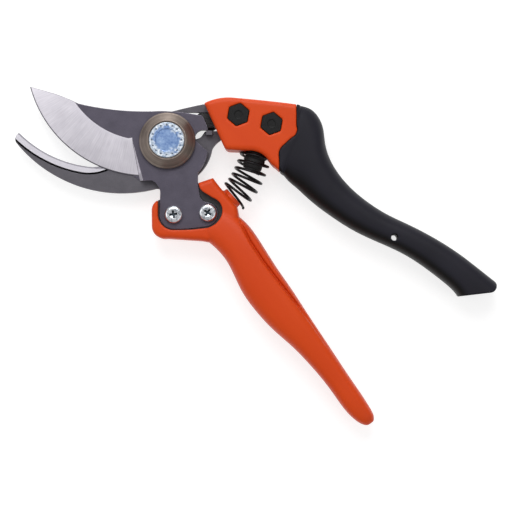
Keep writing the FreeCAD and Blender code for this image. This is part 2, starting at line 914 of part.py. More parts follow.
def spring_axis(share):
    """Point and direction on the bent middle line of the spring, from the block to its seat."""
    start = bumper_top + polar(spring_end_gap, bumper_direction)
    end = spring_foot + polar(spring_end_gap, seat_direction)
    after = start + polar(spring_pull, bumper_direction)
    before = end + polar(spring_pull, seat_direction)
    rest = 1 - share
    place = start * rest ** 3 + after * 3 * rest ** 2 * share + before * 3 * rest * share ** 2 + end * share ** 3
    way = (after - start) * rest ** 2 + (before - after) * 2 * rest * share + (end - before) * share ** 2
    return place + Vector(0, 0, handle_middle), way.normalize()


def spring_wire_middle(share):
    place, way = spring_axis(share)
    across = Vector(-way.y, way.x, 0)
    turn = 2 * math.pi * spring_turns * share
    return place + across * spring_radius * math.cos(turn) + up * spring_radius * math.sin(turn)


def return_spring():
    """Round wire wound about the bent middle line."""
    rows = round(spring_rows * spring_turns)
    step = 0.5 / rows
    sections = []
    for row in range(rows + 1):
        share = row / rows
        middle = spring_wire_middle(share)
        way = (spring_wire_middle(share + step) - spring_wire_middle(share - step)).normalize()
        outward = (middle - spring_axis(share)[0]).normalize()
        outward = (outward - way * outward.dot(way)).normalize()
        aside = way.cross(outward)
        ring = []
        for side in range(spring_sides):
            turn = 2 * math.pi * side / spring_sides
            ring.append(middle + (outward * math.cos(turn) + aside * math.sin(turn)) * spring_wire)
        sections.append(ring + ring[:1])
    return loft(sections, rows)


# ---- lock ----

def nose_half_width():
    """What the pin leaves free between its open and its shut place."""
    return lock_path_radius * math.sin(math.radians(close_angle / 2)) - lock_pin_radius - lock_clearance


def stem_place():
    return on_lock(slider_inner + stem_in, stem_aside)


def lock_slider():
    half = nose_half_width()
    nose = lock_path_radius + nose_stand_off
    body = plate(outline(straight([
        on_lock(nose, -half),
        on_lock(slider_inner, -half),
        on_lock(slider_inner, -slider_step),
        on_lock(slider_outer - slider_slope, -slider_low),
        on_lock(slider_outer, -slider_low),
        on_lock(slider_outer - slider_taper, -half),
        on_lock(slider_inner + slider_shoulder, half),
        on_lock(nose, half),
    ])), counterblade_back + guide_clearance, counterblade_front - guide_clearance)
    return body.cut(rod(button_stem_radius, 0, far, stem_place()))


def lock_button():
    top = counterblade_back - guide_clearance
    bottom = top - button_thickness
    button = plate(button_outline(0), bottom, top)
    for number in range(button_ridges):
        step = number * button_reach / (button_ridges + 1)
        inner = slider_inner - button_inset + button_ridge_start + step
        ridge = lock_oblong(inner, inner + button_ridge_width, button_ridge_half)
        button = button.fuse(plate(ridge, bottom - button_ridge_height, bottom))
    stem = rod(button_stem_radius, top, counterblade_front - guide_clearance, stem_place())
    return button.fuse(stem).removeSplitter()


nodes = {
    "cutting_blade": cutting_blade,
    "blade_bush": blade_bush,
    "lock_pin": lock_pin,
    "lower_handle": lower_handle,
    "tang_liner": tang_liner,
    "tang_inserts": tang_inserts,
    "tang_screws": tang_screws,
    "counterblade": counterblade,
    "upper_handle_core": upper_handle_core,
    "upper_handle_grip": upper_handle_grip,
    "handle_bolts": handle_bolts,
    "handle_nuts": handle_nuts,
    "spring_bumper": spring_bumper,
    "return_spring": return_spring,
    "pivot_bolt": pivot_bolt,
    "back_washer": back_washer,
    "friction_washer": friction_washer,
    "pivot_nut": pivot_nut,
    "locking_disc": locking_disc,
    "lock_slider": lock_slider,
    "lock_button": lock_button,
}

for name, make in nodes.items():
    shape = make()
    state = "valid" if shape.isValid() else "NOT VALID"
    print(name, len(shape.Solids), "solids", round(shape.Volume, 1), "mm3", state)
    shape.exportStep("parts/" + name + ".step")
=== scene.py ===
import json
import math
import bpy
from mathutils import Matrix, Vector

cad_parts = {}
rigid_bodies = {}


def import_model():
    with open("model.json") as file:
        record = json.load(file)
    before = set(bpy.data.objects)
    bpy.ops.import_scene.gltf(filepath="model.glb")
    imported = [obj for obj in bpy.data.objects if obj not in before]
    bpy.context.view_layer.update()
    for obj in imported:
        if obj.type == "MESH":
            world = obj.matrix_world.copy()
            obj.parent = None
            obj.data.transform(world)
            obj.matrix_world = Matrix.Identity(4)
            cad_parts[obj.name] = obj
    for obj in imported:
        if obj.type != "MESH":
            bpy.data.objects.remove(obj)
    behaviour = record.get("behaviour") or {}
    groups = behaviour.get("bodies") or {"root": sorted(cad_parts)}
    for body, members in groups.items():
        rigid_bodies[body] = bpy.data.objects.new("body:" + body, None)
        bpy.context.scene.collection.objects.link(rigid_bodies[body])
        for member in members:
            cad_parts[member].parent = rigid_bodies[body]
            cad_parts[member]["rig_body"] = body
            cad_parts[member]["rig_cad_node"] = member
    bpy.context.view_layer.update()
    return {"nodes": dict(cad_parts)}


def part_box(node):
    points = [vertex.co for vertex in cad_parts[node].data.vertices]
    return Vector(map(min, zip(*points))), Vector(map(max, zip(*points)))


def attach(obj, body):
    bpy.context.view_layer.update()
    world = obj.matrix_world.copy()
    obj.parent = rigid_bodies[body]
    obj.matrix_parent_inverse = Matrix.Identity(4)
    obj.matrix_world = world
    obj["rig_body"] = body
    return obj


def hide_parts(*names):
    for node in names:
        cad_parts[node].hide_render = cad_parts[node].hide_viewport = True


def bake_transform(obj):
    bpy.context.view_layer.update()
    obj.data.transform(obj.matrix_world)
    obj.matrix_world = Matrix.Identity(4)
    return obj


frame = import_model()
cadNodes = frame["nodes"]
mm = 0.001
print("frame loaded,", len(cadNodes), "nodes")


# picking and shaping

def deselect():
    bpy.ops.object.select_all(action="DESELECT")


def pick(piece):
    deselect()
    piece.select_set(True)
    bpy.context.view_layer.objects.active = piece


def modify(piece, kind, **settings):
    pick(piece)
    modifier = piece.modifiers.new(kind.lower(), kind)
    for name, value in settings.items():
        setattr(modifier, name, value)
    bpy.ops.object.modifier_apply(modifier=modifier.name)


def editAll(piece):
    pick(piece)
    bpy.ops.object.mode_set(mode="EDIT")
    bpy.ops.mesh.select_mode(type="FACE")
    bpy.ops.mesh.select_all(action="SELECT")


def editFaces(piece, wanted):
    # opens edit mode with only the faces that pass the test selected
    editAll(piece)
    bpy.ops.mesh.select_all(action="DESELECT")
    bpy.ops.object.mode_set(mode="OBJECT")
    for face in piece.data.polygons:
        face.select = wanted(face)
    bpy.ops.object.mode_set(mode="EDIT")


def leaveEdit():
    bpy.ops.object.mode_set(mode="OBJECT")


def settle(piece):
    # place, turn and size go into the mesh
    pick(piece)
    bpy.ops.object.transform_apply(location=True, rotation=True, scale=True)


def mergedCopy(nodeName, pieceName, flatAngle=0.3):
    # a welded copy of a CAD node, with its flat faces joined up
    pick(cadNodes[nodeName])
    bpy.ops.object.duplicate()
    piece = bpy.context.view_layer.objects.active
    piece.name = pieceName
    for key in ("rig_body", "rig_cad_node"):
        del piece[key]
    bpy.ops.object.parent_clear(type="CLEAR_KEEP_TRANSFORM")
    piece.data.materials.clear()
    editAll(piece)
    bpy.ops.mesh.remove_doubles(threshold=0.002 * mm)
    bpy.ops.mesh.dissolve_limited(angle_limit=math.radians(flatAngle))
    leaveEdit()
    bpy.ops.mesh.customdata_custom_splitnormals_clear()
    return piece


def giveFaces(piece, number, wanted):
    editFaces(piece, wanted)
    piece.active_material_index = number
    bpy.ops.object.material_slot_assign()
    leaveEdit()


def breakEdges(piece, width, segments=2, angle=28, wornSlot=-1):
    modify(piece, "BEVEL", width=width, segments=segments, limit_method="ANGLE",
           angle_limit=math.radians(angle), use_clamp_overlap=True, material=wornSlot, harden_normals=False)


def smoothBy(piece, angle):
    pick(piece)
    bpy.ops.object.shade_smooth_by_angle(angle=math.radians(angle))


def evenShading(piece):
    # flat faces stay flat beside their broken edges
    modify(piece, "WEIGHTED_NORMAL", mode="FACE_AREA", weight=80, keep_sharp=True)


def enter(piece, body, slotName, *standsFor):
    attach(piece, body)
    if standsFor:
        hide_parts(*standsFor)
    print("made", piece.name)


def flatWay(angle):
    return Vector((math.cos(math.radians(angle)), math.sin(math.radians(angle)), 0))


def arcCentre(start, end, radius):
    # centre of an arc, on the left of the way from start to end
    way = end - start
    height = math.sqrt(radius ** 2 - (way.length / 2) ** 2)
    return (start + end) / 2 + Vector((-way.y, way.x, 0)).normalized() * height


# finishes

def paint(red, green, blue):
    # a colour as seen, from 0 to 255, turned into the shader's own values
    seen = (red, green, blue)
    return (*[((part / 255 + 0.055) / 1.055) ** 2.4 if part > 10 else part / 3295 for part in seen], 1)


class Wire:
    # a socket that is added, multiplied and compared like a number
    def __init__(self, tree, socket):
        self.tree = tree
        self.socket = socket

    def calc(self, operation, first, second=0.0, clamp=False):
        node = self.tree.nodes.new("ShaderNodeMath")
        node.operation = operation
        node.use_clamp = clamp
        for place, value in enumerate((first, second)):
            if isinstance(value, Wire):
                self.tree.links.new(value.socket, node.inputs[place])
            else:
                node.inputs[place].default_value = value
        return Wire(self.tree, node.outputs[0])

    def __add__(self, other):
        return self.calc("ADD", self, other)

    def __radd__(self, other):
        return self.calc("ADD", other, self)

    def __sub__(self, other):
        return self.calc("SUBTRACT", self, other)

    def __rsub__(self, other):
        return self.calc("SUBTRACT", other, self)

    def __mul__(self, other):
        return self.calc("MULTIPLY", self, other)

    def __rmul__(self, other):
        return self.calc("MULTIPLY", other, self)

    def __lt__(self, other):
        return self.calc("LESS_THAN", self, other)

    def __gt__(self, other):
        return self.calc("GREATER_THAN", self, other)

    def root(self):
        return self.calc("SQRT", self)

    def clipped(self):
        return self.calc("ADD", self, 0.0, clamp=True)

    def between(self, low, high):
        # 0 below low, 1 above high, and straight between them
        return self.calc("MULTIPLY", self - low, 1 / (high - low), clamp=True)


class Finish:
    def __init__(self, name, constants):
        self.material = bpy.data.materials.new(name)
        self.material.use_nodes = True
        self.tree = self.material.node_tree
        self.tree.nodes.clear()
        self.shader = self.tree.nodes.new("ShaderNodeBsdfPrincipled")
        output = self.tree.nodes.new("ShaderNodeOutputMaterial")
        self.tree.links.new(self.shader.outputs[0], output.inputs[0])
        for name, value in constants.items():
            self.shader.inputs[name].default_value = value

    def node(self, kind, settings, values, out=0):
        made = self.tree.nodes.new(kind)
        for name, value in settings.items():
            setattr(made, name, value)
        for name, value in values.items():
            if isinstance(value, Wire):
                self.tree.links.new(value.socket, made.inputs[name])
            else:
                made.inputs[name].default_value = value
        return Wire(self.tree, made.outputs[out])

    def place(self, centre=(0, 0, 0), turn=0.0, stretch=(1, 1, 1)):
        # place on the piece in millimetres, counted from a centre and turned to a direction
        seen = self.node("ShaderNodeTexCoord", {}, {}, "Object")
        moved = self.node("ShaderNodeVectorMath", {"operation": "SUBTRACT"}, {0: seen, 1: centre})
        sized = self.node("ShaderNodeMapping", {}, {"Vector": moved, "Rotation": (0, 0, -math.radians(turn))})
        return self.node("ShaderNodeMapping", {}, {"Vector": sized, "Scale": [part / mm for part in stretch]})

    def axes(self, where):
        split = self.tree.nodes.new("ShaderNodeSeparateXYZ")
        self.tree.links.new(where.socket, split.inputs[0])
        return [Wire(self.tree, socket) for socket in split.outputs]

    def together(self, x, y, z):
        return self.node("ShaderNodeCombineXYZ", {}, {0: x, 1: y, 2: z})

    def noise(self, where, scale, detail=2.0, roughness=0.5):
        return self.node("ShaderNodeTexNoise", {}, {
            "Vector": where, "Scale": scale, "Detail": detail, "Roughness": roughness})

    def mix(self, factor, first, second):
        return self.node("ShaderNodeMix", {"data_type": "RGBA"}, {0: factor, 6: first, 7: second}, 2)

    def bump(self, height, strength, distance):
        return self.node("ShaderNodeBump", {}, {"Height": height, "Strength": strength, "Distance": distance})

    def feed(self, name, wire):
        self.tree.links.new(wire.socket, self.shader.inputs[name])


coatTones = {"dark": paint(66, 62, 74), "light": paint(93, 88, 102), "grain": 2.6, "mottle": 0.22}


def coatedSteel():
    # grey-violet coating with a fine orange-peel grain
    steel = Finish("coated_steel", {"Metallic": 0.5, "IOR": 1.5})
    where = steel.place()
    grain = steel.noise(where, coatTones["grain"], 4)
    mottle = steel.noise(where, coatTones["mottle"], 3)
    tone = (grain * 0.6 + mottle * 0.7 - 0.15).clipped()
    steel.feed("Base Color", steel.mix(tone, coatTones["dark"], coatTones["light"]))
    steel.feed("Roughness", 0.40 + 0.2 * grain)
    steel.feed("Normal", steel.bump(grain, 0.35, 0.03 * mm))
    return steel.material


def wornSteel():
    # slightly brighter line where the coating has rubbed off an edge
    steel = Finish("worn_edge_steel", {"Metallic": 0.7})
    where = steel.place()
    wear = steel.noise(where, 1.2, 4).between(0.4, 0.62)
    steel.feed("Base Color", steel.mix(wear, paint(84, 80, 92), paint(132, 129, 140)))
    steel.feed("Roughness", 0.44 - 0.1 * wear)
    return steel.material


# the cutting edge is an arc from the blade's tip to its heel
cuttingEdge = {"tip": flatWay(158.25) * 61.3 * mm, "heel": flatWay(-136.4) * 20.2 * mm, "radius": 50.2 * mm}
grinding = {"lines": 2.2, "pale": paint(236, 232, 240), "deep": paint(188, 184, 194)}


def groundSteel():
    # lines of the grinding wheel, square to the cutting edge
    steel = Finish("ground_steel", {"Metallic": 0.45})
    centre = arcCentre(cuttingEdge["tip"], cuttingEdge["heel"], cuttingEdge["radius"])
    x, y, z = steel.axes(steel.place(centre))
    around = steel.node("ShaderNodeMath", {"operation": "ARCTAN2"}, {0: y, 1: x})
    across = (x * x + y * y).root()
    lines = steel.noise(steel.together(around * 50, across * 0.05, 0), grinding["lines"], 4, 0.7)
    cloud = steel.noise(steel.place(), 0.12, 2)
    tone = (1.1 * lines + 0.9 * cloud - 0.4).clipped()
    steel.feed("Base Color", steel.mix(tone, grinding["deep"], grinding["pale"]))
    steel.feed("Roughness", 0.26 + 0.2 * lines)
    steel.feed("Normal", steel.bump(lines, 0.25, 0.02 * mm))
    return steel.material


def honedSteel():
    steel = Finish("honed_edge_steel", {"Metallic": 0.9, "Roughness": 0.3})
    where = steel.place()
    steel.feed("Base Color", steel.mix(steel.noise(where, 2.0, 3), paint(92, 89, 98), paint(140, 137, 146)))
    return steel.material


# the hook's inner edge is an arc too; the sap groove runs beside it and then bends up
hook = {"tip": flatWay(176.6) * 61.6 * mm, "throat": Vector((-31.1, -10.5, 0)) * mm, "radius": 49.7 * mm,
        "grooveInset": 3.0, "bendAngle": 259.8, "bendRadius": 18.6, "halfGroove": 0.42, "grooveReach": 6.0,
        "chamfer": 0.5}


def counterSteel():
    # dark body with a bright strip between the sap groove and the inner edge
    steel = Finish("counter_steel", {"Metallic": 0.55})
    where = steel.place()
    grain = steel.noise(where, 2.4, 4)
    mottle = steel.noise(where, 0.2, 3)
    body = steel.mix((0.6 * grain + 0.7 * mottle - 0.15).clipped(), paint(72, 70, 76), paint(104, 101, 108))
    centre = arcCentre(hook["tip"], hook["throat"], hook["radius"])
    x, y, z = steel.axes(steel.place(centre))
    inset = (x * x + y * y).root() - hook["radius"] / mm
    grooveReach = hook["radius"] / mm + hook["grooveInset"]
    bend = flatWay(hook["bendAngle"]) * (grooveReach - hook["bendRadius"])
    across, down, z = steel.axes(steel.place(centre + bend * mm))
    swing = (across * across + down * down).root() - hook["bendRadius"]
    beyond = x > (flatWay(hook["bendAngle"]) * grooveReach).x
    side = inset - hook["grooveInset"]
    beside = side + beyond * (swing - side)
    bright = beside < 0
    # painted shade: the sap groove is painted near-black, standing in for the shade inside the groove
    grooveShade = (beside > -hook["halfGroove"]) * (beside < hook["halfGroove"]) * (inset < hook["grooveReach"])
    lines = steel.noise(steel.together(x * 0.1, inset * 6, 0), 1.6, 3)
    strip = steel.mix(lines, paint(188, 185, 193), paint(224, 221, 229))
    strip = steel.mix(inset < hook["chamfer"], strip, paint(150, 147, 156))
    steel.feed("Base Color", steel.mix(grooveShade, steel.mix(bright, body, strip), paint(12, 11, 12)))
    steel.feed("Roughness", 0.46 + 0.16 * grain - 0.1 * bright)
    steel.feed("Normal", steel.bump(grain, 0.35, 0.03 * mm))
    return steel.material


def mouldedNylon(name, deep, pale, gloss):
    # glass-filled nylon: faint flow marks and a fine spark-eroded grain
    nylon = Finish(name, {"IOR": 1.5, "Specular IOR Level": 0.22})
    where = nylon.place()
    flow = nylon.noise(nylon.place(turn=-50, stretch=(0.02, 0.12, 0.1)), 1.0, 3)
    grain = nylon.noise(where, 4.5, 3)
    nylon.feed("Base Color", nylon.mix((0.7 * flow + 0.4 * grain - 0.05).clipped(), deep, pale))
    nylon.feed("Roughness", gloss + 0.14 * grain)
    nylon.feed("Normal", nylon.bump(grain, 0.25, 0.03 * mm))
    return nylon.material


def softGrip():
    grip = Finish("black_grip", {"IOR": 1.48, "Specular IOR Level": 0.2})
    where = grip.place()
    grain = grip.noise(where, 6.0, 3)
    cloud = grip.noise(where, 0.05, 2)
    nx, ny, nz = grip.axes(grip.node("ShaderNodeTexCoord", {}, {}, "Normal"))
    # painted shade: faces turned towards the other handle and downwards are painted near-black, standing in
    # for the shadow on the grip's lower side
    paintedUnderShade = (-0.62 * nx - 0.79 * ny).between(0.15, 0.55)
    body = grip.mix((0.8 * cloud + 0.3 * grain).clipped(), paint(15, 14, 19), paint(34, 33, 43))
    grip.feed("Base Color", grip.mix(paintedUnderShade, body, paint(8, 8, 9)))
    grip.feed("Roughness", 0.44 + 0.14 * grain)
    grip.feed("Normal", grip.bump(grain, 0.3, 0.03 * mm))
    return grip.material


def blackPlastic():
    plastic = Finish("black_plastic", {"IOR": 1.5})
    grain = plastic.noise(plastic.place(), 5.0, 3)
    plastic.feed("Base Color", plastic.mix(grain, paint(20, 20, 22), paint(36, 36, 39)))
    plastic.feed("Roughness", 0.4 + 0.2 * grain)
    plastic.feed("Normal", plastic.bump(grain, 0.3, 0.03 * mm))
    return plastic.material


def blackRubber():
    rubber = Finish("black_rubber", {"IOR": 1.45})
    grain = rubber.noise(rubber.place(), 3.0, 4)
    rubber.feed("Base Color", rubber.mix(grain, paint(14, 14, 15), paint(32, 32, 34)))
    rubber.feed("Roughness", 0.55 + 0.2 * grain)
    rubber.feed("Normal", rubber.bump(grain, 0.4, 0.04 * mm))
    return rubber.material


def blackOxide():
    steel = Finish("black_oxide", {"Metallic": 0.6})
    where = steel.place()
    grain = steel.noise(where, 1.6, 4)
    steel.feed("Base Color", steel.mix(grain, paint(8, 8, 9), paint(26, 26, 26)))
    steel.feed("Roughness", 0.34 + 0.2 * grain)
    steel.feed("Normal", steel.bump(grain, 0.3, 0.03 * mm))
    return steel.material


def turnedSteel():
    # rings left by the lathe, round the pivot's axis
    steel = Finish("turned_nut", {"Metallic": 0.85})
    where = steel.place()
    x, y, z = steel.axes(where)
    reach = (x * x + y * y).root()
    rings = steel.noise(steel.together(reach * 1.3, z * 1.3, 0), 1.0, 3, 0.7)
    cloud = steel.noise(where, 0.16, 2)
    tone = (1.5 * rings + 0.5 * cloud - 0.5).clipped()
    steel.feed("Base Color", steel.mix(tone, paint(76, 65, 58), paint(160, 147, 138)))
    steel.feed("Roughness", 0.3 + 0.14 * rings)
    steel.feed("Normal", steel.bump(rings, 0.6, 0.12 * mm))
    return steel.material


disc = {"rim": 4.9, "pipsEnd": 6.7, "face": 0.16,
        "ragged": 8, "paleStart": 8.4, "paleEnd": 9.8}


def platedDisc():
    # bright zinc rim and a bluish mottled middle
    plate = Finish("plated_disc", {"Metallic": 0.7})
    where = plate.place()
    x, y, z = plate.axes(where)
    reach = (x * x + y * y).root()
    spots = plate.noise(where, 1.1, 4, 0.6)
    wisps = plate.noise(where, 0.42, 3, 0.6)
    middle = plate.mix((1.4 * spots + wisps - 0.75).clipped(), paint(84, 116, 172), paint(158, 182, 214))
    rim = plate.mix(spots.between(0.38, 0.62), paint(150, 168, 190), paint(232, 238, 244))
    pale = (reach + disc["ragged"] * wisps).between(disc["paleStart"], disc["paleEnd"])
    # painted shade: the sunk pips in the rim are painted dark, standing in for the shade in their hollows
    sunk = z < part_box("locking_disc")[1].z / mm - disc["face"]
    pipShade = 0.75 * sunk * (reach > disc["rim"]) * (reach < disc["pipsEnd"]) * spots.between(0.3, 0.5)
    plate.feed("Base Color", plate.mix(pipShade, plate.mix(pale, middle, rim), paint(64, 74, 92)))
    plate.feed("Roughness", 0.3 + 0.25 * spots)
    plate.feed("Normal", plate.bump(spots, 0.3, 0.04 * mm))
    return plate.material


def shadedRecessSteel():
    # painted shade: the floor of the cross is painted dark, standing in for the shade down in the recess
    steel = Finish("screw_recess_shade", {"Metallic": 0.8})
    grain = steel.noise(steel.place(), 2.4, 3)
    steel.feed("Base Color", steel.mix(grain, paint(48, 56, 62), paint(96, 106, 114)))
    steel.feed("Roughness", 0.4 + 0.2 * grain)
    return steel.material


def zincPlate():
    zinc = Finish("zinc_screw", {"Metallic": 0.95})
    where = zinc.place()
    grain = zinc.noise(where, 1.3, 3)
    zinc.feed("Base Color", zinc.mix(grain.between(0.35, 0.6), paint(168, 175, 184), paint(238, 241, 245)))
    zinc.feed("Roughness", 0.16 + 0.16 * grain)
    return zinc.material


def plainMetal(name, deep, pale, rough):
    metal = Finish(name, {"Metallic": 0.9})
    grain = metal.noise(metal.place(), 2.0, 4)
    metal.feed("Base Color", metal.mix(grain, deep, pale))
    metal.feed("Roughness", rough + 0.15 * grain)
    metal.feed("Normal", metal.bump(grain, 0.2, 0.02 * mm))
    return metal.material


finishes = {
    "coat": coatedSteel(),
    "worn": wornSteel(),
    "ground": groundSteel(),
    "honed": honedSteel(),
    "counter": counterSteel(),
    "orange": mouldedNylon("orange_nylon", paint(196, 56, 8), paint(212, 74, 16), 0.36),
    "grip": softGrip(),
    "plastic": blackPlastic(),
    "rubber": blackRubber(),
    "oxide": blackOxide(),
    "turned": turnedSteel(),
    "disc": platedDisc(),
    "zinc": zincPlate(),
    "recess": shadedRecessSteel(),
    "brass": plainMetal("brass_insert", paint(176, 140, 70), paint(214, 182, 110), 0.3),
    "bearing": plainMetal("bearing_steel", paint(120, 118, 122), paint(168, 167, 172), 0.3),
    "spring": plainMetal("spring_wire", paint(22, 21, 23), paint(46, 44, 46), 0.28),
}
print("finishes made:", len(finishes))


# blades

cuttingLook = {"edgeBreak": 0.12 * mm, "groundEnd": -9.0 * mm,
               "steepest": 0.3, "steep": 0.6, "slopeLow": 0.9, "slopeHigh": 0.995}


def makeCuttingBlade():
    blade = mergedCopy("cutting_blade", "ground_cutting_blade")
    coat, ground, honed, worn = range(4)
    for name in ("coat", "ground", "honed", "worn"):
        blade.data.materials.append(finishes[name])
    slopes = ((ground, "slopeLow", "slopeHigh"), (honed, "steep", "slopeLow"), (ground, "steepest", "steep"))
    for number, low, high in slopes:
        giveFaces(blade, number, lambda face: cuttingLook[low] < face.normal.z < cuttingLook[high]
                  and face.center.x < cuttingLook["groundEnd"])
    breakEdges(blade, cuttingLook["edgeBreak"], 2, 40, worn)
    smoothBy(blade, 30)
    evenShading(blade)
    enter(blade, "lower_half", "coated_steel", "cutting_blade")


counterLook = {"edgeBreak": 0.2 * mm}


def makeCounterblade():
    blade = mergedCopy("counterblade", "hooked_counterblade")
    blade.data.materials.append(finishes["counter"])
    blade.data.materials.append(finishes["worn"])
    breakEdges(blade, counterLook["edgeBreak"], 2, 40, 1)
    smoothBy(blade, 30)
    evenShading(blade)
    enter(blade, "upper_half", "counter_steel", "counterblade")


makeCuttingBlade()
makeCounterblade()


# handles

handleLook = {"voxel": 0.34 * mm, "smoothing": 5}


def mould(piece):
    # one skin with softly rounded edges, as it leaves the mould
    modify(piece, "REMESH", mode="VOXEL", voxel_size=handleLook["voxel"], use_smooth_shade=True)
    modify(piece, "SMOOTH", factor=0.5, iterations=handleLook["smoothing"])


def makeUpperCore():
    core = mergedCopy("upper_handle_core", "orange_handle_block")
    mould(core)
    core.data.materials.append(finishes["orange"])
    enter(core, "upper_half", "orange_nylon", "upper_handle_core")


def makeUpperGrip():
    grip = mergedCopy("upper_handle_grip", "black_handle_grip")
    mould(grip)
    grip.data.materials.append(finishes["grip"])
    enter(grip, "upper_half", "black_grip", "upper_handle_grip")


ledgeLook = {"line": ((28.2, -29.0), (29.8, -34.0), (33.4, -41.4), (38.8, -49.6),
                      (44.4, -56.9), (51.0, -65.2), (58.2, -74.4), (65.5, -85.0)),
             "toEdge": (14.0, 9.0), "toCrease": (0.8, 0.55),
             "floor": 15.4, "creaseFloor": 14.4, "height": 10.0}


def cutStrip(handle, aside, floor):
    # takes away what lies above a floor, between the ledge's line and the same line moved aside
    curve = bpy.data.curves.new("strip", "CURVE")
    curve.dimensions = "2D"
    curve.fill_mode = "BOTH"
    curve.extrude = ledgeLook["height"] / 2 * mm
    corners = list(ledgeLook["line"]) + [(x + aside[0], y + aside[1]) for x, y in reversed(ledgeLook["line"])]
    outline = curve.splines.new("POLY")
    outline.points.add(len(corners) - 1)
    outline.use_cyclic_u = True
    for point, (x, y) in zip(outline.points, corners):
        point.co = (x * mm, y * mm, 0, 1)
    cutter = bpy.data.objects.new("strip", curve)
    bpy.context.scene.collection.objects.link(cutter)
    cutter.location.z = (floor + ledgeLook["height"] / 2) * mm
    pick(cutter)
    bpy.ops.object.convert(target="MESH")
    cutter = bpy.context.object
    settle(cutter)
    editAll(cutter)
    bpy.ops.mesh.remove_doubles(threshold=0.001 * mm)
    bpy.ops.mesh.normals_make_consistent(inside=False)
    leaveEdit()
    modify(handle, "BOOLEAN", operation="DIFFERENCE", object=cutter, solver="EXACT")
    pick(cutter)
    bpy.ops.object.delete()


def makeLowerHandle():
    handle = mergedCopy("lower_handle", "orange_lower_handle")
    cutStrip(handle, ledgeLook["toEdge"], ledgeLook["floor"])
    cutStrip(handle, ledgeLook["toCrease"], ledgeLook["creaseFloor"])
    mould(handle)
    handle.data.materials.append(finishes["orange"])
    enter(handle, "lower_half", "orange_nylon", "lower_handle")


makeUpperCore()
makeUpperGrip()
makeLowerHandle()


# small machined and moulded pieces: node, new name, body, record slot, finish, edge break in mm

smallPieces = [
    ("tang_liner", "black_tang_liner", "lower_half", "black_plastic", "plastic", 0.12),
    ("blade_bush", "steel_bush", "lower_half", "bearing_steel", "bearing", 0.15),
    ("lock_pin", "steel_lock_pin", "lower_half", "bearing_steel", "bearing", 0.12),
    ("tang_inserts", "brass_tang_inserts", "lower_half", "brass_insert", "brass", 0.2),
    ("handle_bolts", "black_hexagon_bolts", "upper_half", "black_oxide", "oxide", 0.3),
    ("handle_nuts", "zinc_hexagon_nuts", "upper_half", "zinc_screw", "zinc", 0.35),
    ("spring_bumper", "ribbed_rubber_bumper", "upper_half", "black_rubber", "rubber", 0.12),
    ("pivot_bolt", "black_pivot_bolt", "upper_half", "black_oxide", "oxide", 0.25),
    ("back_washer", "steel_back_washer", "upper_half", "bearing_steel", "bearing", 0.12),
    ("friction_washer", "steel_friction_washer", "upper_half", "bearing_steel", "bearing", 0.1),
    ("pivot_nut", "turned_pivot_nut", "upper_half", "turned_nut", "turned", 0.08),
    ("locking_disc", "pipped_locking_disc", "upper_half", "plated_disc", "disc", 0.1),
    ("lock_slider", "black_lock_slider", "lock", "black_plastic", "plastic", 0.25),
    ("lock_button", "ridged_lock_button", "lock", "black_plastic", "plastic", 0.3),
]


def makeSmallPieces():
    for nodeName, pieceName, body, slotName, finishName, width in smallPieces:
        piece = mergedCopy(nodeName, pieceName)
        piece.data.materials.append(finishes[finishName])
        breakEdges(piece, width * mm, 2, 30)
        smoothBy(piece, 32)
        evenShading(piece)
        enter(piece, body, slotName, nodeName)


makeSmallPieces()


# tang screws

screwLook = {"radius": 3.7 * mm, "height": 2.3 * mm, "round": 1.5 * mm, "shank": 2.0 * mm, "length": 9.0 * mm,
             "crossReach": 2.3 * mm, "crossWidth": 1.15 * mm, "crossDepth": 1.5 * mm,
             "crossTaper": (0.45, 0.5, 1), "edgeBreak": 0.09 * mm,
             "places": ((2.6 * mm, -30.2 * mm, 10), (16.6 * mm, -29.5 * mm, -35))}


def makeCrossCutter(seat):
    # two tapered blades, as the tip of the driver
    arms = []
    for quarter in (0, 90):
        bpy.ops.mesh.primitive_cube_add(size=1, location=(0, 0, seat + screwLook["height"]))
        arm = bpy.context.object
        arm.scale = (2 * screwLook["crossReach"], screwLook["crossWidth"], 2 * screwLook["crossDepth"])
        settle(arm)
        editFaces(arm, lambda face: face.normal.z < -0.9)
        bpy.ops.transform.resize(value=screwLook["crossTaper"], center_override=(0, 0, seat))
        leaveEdit()
        arm.rotation_euler.z = math.radians(quarter)
        settle(arm)
        # the cross's faces carry the dark painted recess shade into the screw head
        arm.data.materials.append(finishes["recess"])
        arms.append(arm)
    return arms


def makeTangScrews():
    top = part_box("tang_screws")[1].z
    seat = top - screwLook["height"]
    bpy.ops.mesh.primitive_cylinder_add(vertices=72, radius=screwLook["radius"], depth=screwLook["height"],
                                        location=(0, 0, seat + screwLook["height"] / 2))
    screw = bpy.context.object
    screw.name = "zinc_tang_screws"
    settle(screw)
    editFaces(screw, lambda face: face.normal.z > 0.9)
    bpy.ops.mesh.bevel(offset=screwLook["round"], segments=9, profile=0.55, affect="EDGES")
    leaveEdit()
    editFaces(screw, lambda face: face.normal.z < -0.9)
    bpy.ops.mesh.inset(thickness=screwLook["radius"] - screwLook["shank"])
    bpy.ops.mesh.extrude_region_move(TRANSFORM_OT_translate={"value": (0, 0, -screwLook["length"])})
    leaveEdit()
    screw.data.materials.append(finishes["zinc"])
    for arm in makeCrossCutter(seat):
        modify(screw, "BOOLEAN", operation="DIFFERENCE", object=arm, solver="EXACT", material_mode="TRANSFER")
        pick(arm)
        bpy.ops.object.delete()
    breakEdges(screw, screwLook["edgeBreak"], 2, 35)
    smoothBy(screw, 32)
    pick(screw)
    bpy.ops.object.duplicate()
    second = bpy.context.object
    for piece, (x, y, turn) in zip((screw, second), screwLook["places"]):
        piece.location = (x, y, 0)
        piece.rotation_euler.z = math.radians(turn)
        settle(piece)
    second.name = "zinc_tang_screw_right"
    screw.name = "zinc_tang_screw_left"
    enter(screw, "lower_half", "zinc_screw", "tang_screws")
    enter(second, "lower_half", "zinc_screw")


makeTangScrews()


# return spring

